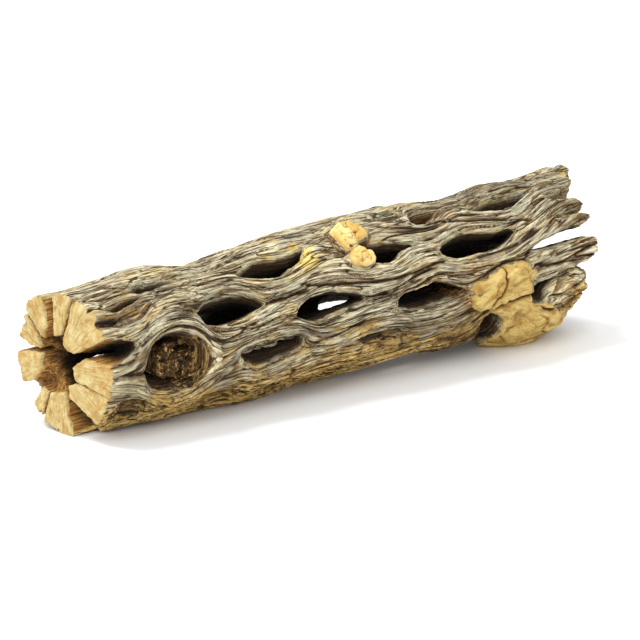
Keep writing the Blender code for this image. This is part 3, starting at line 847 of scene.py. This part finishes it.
ragged = noise3(P / 3.0, 96)
# dark blots on the recesses, the knob's crevice and the cut end: painted shade, partly dark rusty colour left of the
# knob
attribute("dark", stain_light_and_shade_blots(((178, -48, 12, 10), (187, -32, 5, 6), (190, -50, 4, 9), (183, -20, 6, 2), (57, -45, 7, 5), (83, -52, 8, 3), (112, -52, 8, 3),
                         (16, -36, 6, 5), (40, -8, 3, 5), (20, 2, 2.5, 7), (42, 38, 4, 1.5), (208, -20, 5, 5),
                         (171, -68, 9, 5), (187, -60, 4, 16), (80, -11, 11, 4.5))) + 0.0)
ring_q = np.hypot((vx - sx) / sr, wrap(vt - sa) * MMDEG / ss)
beside = np.interp(wrap(vt), [-180, -140, -96, -75, -48, -30, -20, -10], [180, 188, 197, 194.5, 192.5, 189, 185, 178]) - vx
# crevice beside the knob and inside of the branch socket: painted shade
crevice_shade = step(-1.5, 0.3, beside) * step(9.5, 5.0, beside + 4.0 * ragged) * step(-24, -30, wrap(vt)) * step(-120, -100, wrap(vt)) * step(0.4, 1.2, v_base + 1.0 - vr)
attribute("socket", np.maximum(step(1.12, 1.0, ring_q) * step(0.3, 1.2, depth), crevice_shade))
attribute("shade", stain_light_and_shade_blots(((13, -4, 8, 13), (13, -4, 8, 13), (56, -18, 6, 6), (236, 48, 14, 10), (150, -24, 22, 5), (205, 100, 30, 12), (92, 0, 10, 3))))
attribute("rusty", stain_light_and_shade_blots(((170, 78, 8, 5), (117.5, 66, 2.6, 7), (23, 50, 8, 3.5), (21, 62, 7, 3), (186, -60, 8, 9),
                          (133, 66, 2.5, 5), (170, -6, 5, 4), (178, 8, 6, 3), (52, 22, 4, 2), (176, 16, 9, 2))))
# pale blots on the upper side: painted light, the top lit brighter
attribute("pale", stain_light_and_shade_blots(((158, 67, 34, 8), (118, 42, 16, 5), (44, 100, 30, 10))))
attribute("stub", v_stub)
attribute("core", step(17.0, 11.0, vr))
attribute("cleft", cleft * skin * (1 - smooth_face))
attribute("endx", np.maximum(end_gap, 0))
attribute("farx", np.maximum(far_gap, 0))
attribute("knob", v_knob)
attribute("lemon", lemon)
attribute("pit", under * skin * np.clip(step(0.15, 0.5, noise3((P) / 3.4, 109)) + 0.8 * step(0.12, 0.5, -crumb2), 0, 1))
attribute("spoke", np.stack([vt * MMDEG, vr, vx], 1), "FLOAT_VECTOR")
attribute("plug", step(-0.5, 0.5, sample(plug) - 14) * step(2.2, 0.8, sample(plug) - vr) * step(9.0, 8.0, np.hypot(vx - sx - 2.6, wrap(vt) * MMDEG) - 3.5))

stick = bpy.data.objects.new("driftwood_stick", mesh)
bpy.context.scene.collection.objects.link(stick)


# ---------------------------------------------------------------- material
def rgb(r, g, b):
    return tuple(((c / 255 + 0.055) / 1.055) ** 2.4 if c > 10 else c / 255 / 12.92 for c in (r, g, b)) + (1.0,)


class Nodes:
    """Short-hand for a material's node tree."""

    def __init__(self, name):
        self.material = bpy.data.materials.new(name)
        self.material.use_nodes = True
        self.tree = self.material.node_tree
        self.shader = self.tree.nodes["Principled BSDF"]

    def new(self, kind, **inputs):
        node = self.tree.nodes.new(kind)
        for key, value in inputs.items():
            setattr(node, key, value)
        return node

    def link(self, a, b):
        self.tree.links.new(a, b)

    def attr(self, name, vector=False):
        node = self.new("ShaderNodeAttribute", attribute_name=name, attribute_type="GEOMETRY")
        return node.outputs["Vector" if vector else "Fac"]

    def math(self, op, a, b=None, clamp=False):
        node = self.new("ShaderNodeMath", operation=op, use_clamp=clamp)
        for i, v in enumerate((a, b)):
            if v is None:
                continue
            if isinstance(v, (int, float)):
                node.inputs[i].default_value = v
            else:
                self.link(v, node.inputs[i])
        return node.outputs[0]

    def scaled(self, vector, sx, sy, sz):
        node = self.new("ShaderNodeVectorMath", operation="MULTIPLY")
        self.link(vector, node.inputs[0])
        node.inputs[1].default_value = (sx, sy, sz)
        return node.outputs[0]

    def noise(self, vector, scale=1.0, detail=3.0, rough=0.55, distortion=0.0):
        node = self.new("ShaderNodeTexNoise")
        node.inputs["Scale"].default_value = scale
        node.inputs["Detail"].default_value = detail
        node.inputs["Roughness"].default_value = rough
        node.inputs["Distortion"].default_value = distortion
        self.link(vector, node.inputs["Vector"])
        return node.outputs["Fac"]

    def ramp(self, fac, stops, mode="LINEAR"):
        node = self.new("ShaderNodeValToRGB")
        node.color_ramp.interpolation = mode
        while len(node.color_ramp.elements) < len(stops):
            node.color_ramp.elements.new(0.5)
        for e, (at, colour) in zip(node.color_ramp.elements, stops):
            e.position = at
            e.color = colour if not isinstance(colour, (int, float)) else (colour,) * 3 + (1,)
        self.link(fac, node.inputs[0])
        return node.outputs[0]

    def mix(self, fac, a, b, mode="MIX"):
        node = self.new("ShaderNodeMix", data_type="RGBA", blend_type=mode)
        for value, socket in ((fac, node.inputs[0]), (a, node.inputs[6]), (b, node.inputs[7])):
            if isinstance(value, tuple):
                socket.default_value = value
            elif isinstance(value, (int, float)):
                socket.default_value = value
            else:
                self.link(value, socket)
        return node.outputs[2]

    def span(self, value, lo, hi, to_lo=0.0, to_hi=1.0, smooth=True):
        node = self.new("ShaderNodeMapRange", interpolation_type="SMOOTHSTEP" if smooth else "LINEAR")
        self.link(value, node.inputs[0])
        for i, v in enumerate((lo, hi, to_lo, to_hi)):
            node.inputs[i + 1].default_value = v
        return node.outputs[0]


m = Nodes("weathered_wood")
flow_v = m.attr("flow", True)
crack_a, cut_a, depth_a, rim_a, under_a, core_a = (m.attr(n) for n in ("crack", "cut", "depth", "rim", "under", "core"))
cleft_a, endx_a, knob_a, lemon_a, pit_a, plug_a = (m.attr(n) for n in ("cleft", "endx", "knob", "lemon", "pit", "plug"))


def checks(across, along, width, low, high):
    """Hairline drying cracks along the grain."""
    n = m.noise(m.scaled(flow_v, across, across, along), 1.0, 2.0, 0.5, 0.1)
    gate = m.noise(m.scaled(flow_v, across * 0.7, across * 0.7, along * 2.2), 1.7, 1.0, 0.5)
    line = m.span(m.math("ABSOLUTE", m.math("SUBTRACT", n, 0.5)), 0.0, width, 1.0, 0.0)
    return m.math("MULTIPLY", line, m.span(gate, low, high))


c1 = checks(0.26, 0.013, 0.036, 0.41, 0.50)
c2 = checks(0.55, 0.028, 0.050, 0.44, 0.53)
c3 = checks(1.10, 0.055, 0.075, 0.48, 0.58)
hair = m.math("MAXIMUM", m.math("MAXIMUM", c1, m.math("MULTIPLY", c2, 0.85)), m.math("MULTIPLY", c3, 0.6))

# weathered grey: streaks along the grain at several scales
streak = m.noise(m.scaled(flow_v, 0.85, 0.85, 0.055), 1.0, 4.0, 0.65, 0.15)
fine = m.noise(m.scaled(flow_v, 2.6, 2.6, 0.13), 1.0, 3.0, 0.6)
middle = m.noise(m.scaled(flow_v, 1.45, 1.45, 0.075), 1.0, 2.0, 0.6, 0.1)
broad = m.noise(m.scaled(flow_v, 0.11, 0.11, 0.035), 1.0, 2.0, 0.5, 0.3)
blotch = m.noise(m.scaled(flow_v, 0.35, 0.35, 0.10), 1.0, 3.0, 0.6, 0.3)
tone = m.math("ADD", m.math("MULTIPLY", streak, 0.5), m.math("MULTIPLY", fine, 0.5))
grey = m.ramp(tone, [(0.36, rgb(112, 99, 68)), (0.44, rgb(180, 167, 126)), (0.50, rgb(226, 214, 170)),
                     (0.58, rgb(250, 241, 198)), (0.68, rgb(252, 250, 222))])
cool = m.ramp(tone, [(0.36, rgb(86, 81, 66)), (0.44, rgb(144, 139, 119)), (0.53, rgb(194, 189, 162)),
                     (0.66, rgb(242, 237, 208))])
tan = m.ramp(tone, [(0.32, rgb(104, 70, 34)), (0.45, rgb(160, 122, 66)), (0.56, rgb(200, 164, 98)),
                    (0.72, rgb(232, 204, 142))])
surface = m.mix(m.span(broad, 0.46, 0.62, 0.75, 0.0), grey, cool)
surface = m.mix(m.span(blotch, 0.55, 0.67, 0.0, 0.8), surface, tan)
gold = m.ramp(tone, [(0.34, rgb(108, 74, 28)), (0.46, rgb(196, 154, 70)), (0.60, rgb(242, 206, 116))])
surface = m.mix(m.math("MULTIPLY", under_a, 0.9), surface, gold)
surface = m.mix(m.span(middle, 0.54, 0.66, 0.0, 0.5), surface, rgb(248, 240, 208))
surface = m.mix(m.span(middle, 0.34, 0.45, 0.75, 0.0), surface, rgb(84, 70, 40))
# pits of the underside darkened: painted shade
surface = m.mix(m.math("MULTIPLY", pit_a, 0.85), surface, rgb(64, 42, 18))
# ridges worn pale and given a painted highlight, hollows dirtied and darkened with painted shade
fine_r, wide_r = m.attr("fine_ridge"), m.attr("wide_ridge")
ridge = m.math("ADD", m.math("MULTIPLY", fine_r, 0.62), m.math("MULTIPLY", wide_r, 0.38))
bleach_and_highlight = m.mix(m.math("MAXIMUM", under_a, m.span(broad, 0.60, 0.70)), rgb(236, 225, 194), rgb(226, 186, 112))
# painted highlight, with some real wear, on the ridges
surface = m.mix(m.span(ridge, 0.50, 0.68, 0.0, 0.34), surface, bleach_and_highlight)
# painted shade, with some dirt, in the hollows
surface = m.mix(m.span(ridge, 0.28, 0.42, 0.42, 0.0), surface, rgb(120, 100, 56))
surface = m.mix(m.span(ridge, 0.14, 0.31, 0.9, 0.0), surface, rgb(34, 25, 13))
surface = m.mix(m.math("MULTIPLY", m.attr("shade"), 0.58), surface, rgb(66, 58, 42))
# paler upper side: painted light on the top
surface = m.mix(m.math("MULTIPLY", m.attr("pale"), 0.26), surface, rgb(244, 232, 196))
freckle = m.noise(m.scaled(flow_v, 1.3, 1.3, 0.35), 1.0, 3.0, 0.65, 0.2)
gilt = m.math("MULTIPLY", m.span(m.noise(m.scaled(flow_v, 0.16, 0.16, 0.05), 1.0, 2.0, 0.5, 0.4), 0.54, 0.64), m.span(freckle, 0.46, 0.60))
surface = m.mix(m.math("MULTIPLY", gilt, 0.8), surface, rgb(226, 192, 104))
surface = m.mix(m.math("MULTIPLY", lemon_a, m.span(fine, 0.40, 0.54, 0.45, 1.0)), surface, rgb(250, 218, 118))
rusty_a, dark_a, stub_a = m.attr("rusty"), m.attr("dark"), m.attr("stub")
surface = m.mix(m.math("MULTIPLY", rusty_a, m.span(freckle, 0.36, 0.60, 1.0, 0.45)), surface,
                m.ramp(freckle, [(0.35, rgb(74, 44, 18)), (0.52, rgb(146, 96, 42)), (0.66, rgb(206, 158, 84))]))
# dark blots: painted shade in the recesses, partly the wood's own dark rusty colour
surface = m.mix(m.math("MULTIPLY", dark_a, m.span(freckle, 0.40, 0.66, 1.0, 0.35)), surface, rgb(44, 30, 16))
# grooves and drying cracks darkened as painted shade: brown along the edges, black within
groovy = m.math("MAXIMUM", crack_a, cleft_a)
surface = m.mix(m.span(groovy, 0.05, 0.7, 0.0, 0.7), surface, rgb(112, 78, 38))
surface = m.mix(m.math("MULTIPLY", m.span(hair, 0.1, 0.7), 0.45), surface, rgb(120, 84, 42))
surface = m.mix(m.math("MULTIPLY", m.span(hair, 0.45, 0.95), 0.9), surface, rgb(34, 25, 14))
surface = m.mix(m.span(groovy, 0.55, 1.0, 0.0, 0.9), surface, rgb(32, 23, 12))
# the walls of the windows and the core: brown, darkened with depth as painted shade
inside = m.ramp(tone, [(0.3, rgb(30, 20, 10)), (0.5, rgb(68, 50, 29)), (0.7, rgb(112, 88, 55))])
deep = m.ramp(tone, [(0.3, rgb(10, 8, 5)), (0.6, rgb(34, 25, 15)), (0.8, rgb(58, 44, 28))])
surface = m.mix(m.span(depth_a, 1.4, 3.6), surface, inside)
surface = m.mix(m.span(depth_a, 3.6, 8.0), surface, deep)
surface = m.mix(m.math("MULTIPLY", m.math("MULTIPLY", rusty_a, m.span(depth_a, 1.0, 2.5)), m.span(freckle, 0.40, 0.58, 0.25, 0.9)), surface,
                m.ramp(freckle, [(0.42, rgb(84, 54, 24)), (0.56, rgb(160, 112, 52)), (0.68, rgb(224, 180, 104))]))
# the socket's inside and the crevice beside the knob darkened: painted shade
surface = m.mix(m.math("MULTIPLY", m.attr("socket"), 0.85), surface, m.ramp(freckle, [(0.38, rgb(20, 13, 7)), (0.52, rgb(58, 38, 20)), (0.66, rgb(112, 80, 44))]))
# the plug of torn wood in the branch socket
torn_c = m.ramp(m.noise(m.scaled(flow_v, 0.8, 0.8, 0.5), 1.0, 4.0, 0.7, 0.8),
                [(0.40, rgb(22, 14, 7)), (0.50, rgb(82, 58, 30)), (0.59, rgb(150, 114, 62)), (0.68, rgb(236, 204, 136))])
surface = m.mix(m.math("MULTIPLY", plug_a, 0.95), surface, torn_c)
# towards the saw cut the walls are fresher: orange brown, turning dark further in as painted shade in the gaps between
# the blades
near_cut = m.math("MULTIPLY", m.span(m.math("ADD", endx_a, m.math("MULTIPLY", blotch, 6.0)), 6.0, 15.0, 1.0, 0.0),
                  m.span(depth_a, 1.0, 2.5))
rust = m.ramp(tone, [(0.32, rgb(58, 34, 13)), (0.44, rgb(140, 92, 40)), (0.56, rgb(206, 156, 82)), (0.70, rgb(236, 200, 128))])
# painted shade deeper in the gaps
rust = m.mix(m.span(endx_a, 2.0, 11.0, 0.0, 0.85), rust, rgb(62, 40, 19))
surface = m.mix(near_cut, surface, rust)
# the torn far end has weathered brown grey, with dirt and painted shade in its hollows and wear and a painted highlight
# on its ridges
near_far = m.math("MULTIPLY", m.span(m.math("ADD", m.attr("farx"), m.math("MULTIPLY", blotch, 8.0)), 6.0, 17.0, 0.92, 0.0),
                  m.span(depth_a, 0.8, 2.0))
torn_far = m.ramp(tone, [(0.32, rgb(66, 50, 30)), (0.46, rgb(122, 99, 66)), (0.60, rgb(170, 146, 104)), (0.72, rgb(206, 184, 140))])
torn_far = m.mix(m.span(ridge, 0.30, 0.48, 0.8, 0.0), torn_far, rgb(48, 34, 19))
torn_far = m.mix(m.span(ridge, 0.53, 0.70, 0.0, 0.55), torn_far, rgb(208, 182, 132))
surface = m.mix(near_far, surface, torn_far)
# fresh and worn cut faces: honey yellow with pores and streaks
pores = m.noise(m.scaled(flow_v, 1.6, 1.6, 1.0), 1.0, 3.0, 0.6)
speck = m.noise(m.scaled(flow_v, 3.4, 3.4, 2.2), 1.0, 2.0, 0.6)
honey_n = m.noise(m.scaled(flow_v, 0.22, 0.22, 0.14), 1.0, 3.0, 0.6, 0.3)
honey = m.ramp(honey_n, [(0.34, rgb(180, 142, 78)), (0.48, rgb(199, 172, 110)), (0.62, rgb(213, 195, 140))])
honey = m.mix(m.span(pores, 0.62, 0.76, 0.0, 0.2), honey, rgb(170, 124, 66))
rays = m.noise(m.scaled(m.attr("spoke", True), 1.1, 0.16, 0.16), 1.0, 3.0, 0.6, 0.2)
honey = m.mix(m.span(rays, 0.36, 0.48, 0.5, 0.0), honey, rgb(156, 114, 56))
honey = m.mix(m.span(rays, 0.54, 0.66, 0.0, 0.45), honey, rgb(224, 208, 156))
honey = m.mix(m.span(speck, 0.58, 0.70, 0.0, 0.45), honey, rgb(140, 96, 46))
amber = m.ramp(honey_n, [(0.34, rgb(164, 126, 62)), (0.50, rgb(205, 174, 100)), (0.64, rgb(223, 197, 124))])
amber = m.mix(m.span(fine, 0.50, 0.66, 0.0, 0.5), amber, rgb(140, 100, 50))
amber = m.mix(m.span(blotch, 0.58, 0.70, 0.0, 0.6), amber, rgb(128, 96, 58))
honey = m.mix(m.math("MULTIPLY", stub_a, 0.6), honey, m.ramp(honey_n, [(0.38, rgb(222, 174, 84)), (0.5, rgb(244, 206, 118)), (0.62, rgb(255, 234, 160))]))
honey = m.mix(knob_a, honey, amber)
# hollows and cracks of the cut faces darkened: painted shade
honey = m.mix(m.span(ridge, 0.36, 0.48, 0.7, 0.0), honey, rgb(152, 104, 48))
honey = m.mix(m.span(ridge, 0.22, 0.38, 0.85, 0.0), honey, rgb(48, 30, 12))
honey = m.mix(m.span(crack_a, 0.15, 0.75, 0.0, 0.75), honey, rgb(120, 78, 34))
honey = m.mix(m.span(crack_a, 0.6, 1.0, 0.0, 0.95), honey, rgb(34, 22, 10))
edge_n = m.noise(m.scaled(flow_v, 0.8, 0.8, 0.5), 1.0, 3.0, 0.6)
cut_f = m.span(m.math("ADD", cut_a, m.math("MULTIPLY", m.math("SUBTRACT", edge_n, 0.5), 0.5)), 0.40, 0.62)
colour = m.mix(cut_f, surface, honey)
m.link(colour, m.shader.inputs["Base Color"])
rough_n = m.span(tone, 0.3, 0.75, 0.95, 0.7)
m.link(rough_n, m.shader.inputs["Roughness"])
m.shader.inputs["Specular IOR Level"].default_value = 0.25
wood_h = m.math("SUBTRACT", m.math("MULTIPLY", fine, 0.7), m.math("MULTIPLY", hair, 1.2))
cut_h = m.math("MULTIPLY", m.math("ADD", pores, speck), -0.5)
bump = m.new("ShaderNodeBump")
bump.inputs["Strength"].default_value = 0.8
bump.inputs["Distance"].default_value = 0.0008
blend = m.new("ShaderNodeMix", data_type="FLOAT")
m.link(cut_f, blend.inputs[0])
m.link(wood_h, blend.inputs[2])
m.link(cut_h, blend.inputs[3])
m.link(blend.outputs[0], bump.inputs["Height"])
m.link(bump.outputs[0], m.shader.inputs["Normal"])
mesh.materials.append(m.material)

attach(stick, "root")
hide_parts("driftwood")

# ---------------------------------------------------------------- floor, light, camera
floor_mesh = bpy.data.meshes.new("studio_floor")
floor_mesh.from_pydata([(-4, -4, 0), (4, -4, 0), (4, 4, 0), (-4, 4, 0)], [], [(0, 1, 2, 3)])
floor_obj = bpy.data.objects.new("studio_floor", floor_mesh)
bpy.context.scene.collection.objects.link(floor_obj)
fm = Nodes("pale_floor")
fm.shader.inputs["Base Color"].default_value = (0.9, 0.9, 0.9, 1)
fm.shader.inputs["Roughness"].default_value = 0.9
fm.shader.inputs["Specular IOR Level"].default_value = 0.1
floor_mesh.materials.append(fm.material)

world = bpy.data.worlds.new("studio")
bpy.context.scene.world = world
world.use_nodes = True
world.node_tree.nodes["Background"].inputs[0].default_value = (1.0, 1.0, 1.0, 1)
world.node_tree.nodes["Background"].inputs[1].default_value = 1.0


def sun(name, towards, strength, spread):
    """A far soft light; `towards` points from the stick to the light."""
    data = bpy.data.lights.new(name, "SUN")
    data.energy = strength
    data.angle = math.radians(spread)
    obj = bpy.data.objects.new(name, data)
    bpy.context.scene.collection.objects.link(obj)
    obj.rotation_euler = Vector(towards).to_track_quat("Z", "Y").to_euler()
    return obj


sun("key", (-0.26, 0.40, 1.0), 1.5, 16.0)
sun("fill", (-0.85, -0.45, 0.65), 1.1, 45.0)

camera = bpy.data.cameras.new("camera")
camera.sensor_fit = "HORIZONTAL"
camera.sensor_width = 36.0
camera.angle = math.radians(11.0)
camera.clip_start, camera.clip_end = 0.05, 50.0
cam = bpy.data.objects.new("camera", camera)
bpy.context.scene.collection.objects.link(cam)
al, el = math.radians(40.0), math.radians(18.0)
back = np.array([-math.sin(al) * math.cos(el), -math.cos(al) * math.cos(el), math.sin(el)])
right = np.cross([0, 0, 1], back)
right /= np.linalg.norm(right)
up = np.cross(back, right)
axes = np.stack([right, up, back]) @ M.T
eye = to_row(np.array([-649.41, -918.03, 381.27]))
cam.matrix_world = Matrix([[*axes[:, 0], eye[0]], [*axes[:, 1], eye[1]], [*axes[:, 2], eye[2]], [0, 0, 0, 1]])
print("camera axes", axes.round(4).tolist(), eye.round(4).tolist())
bpy.context.scene.camera = cam
bpy.context.scene.view_settings.view_transform = "Standard"
bpy.context.scene.view_settings.look = "None"
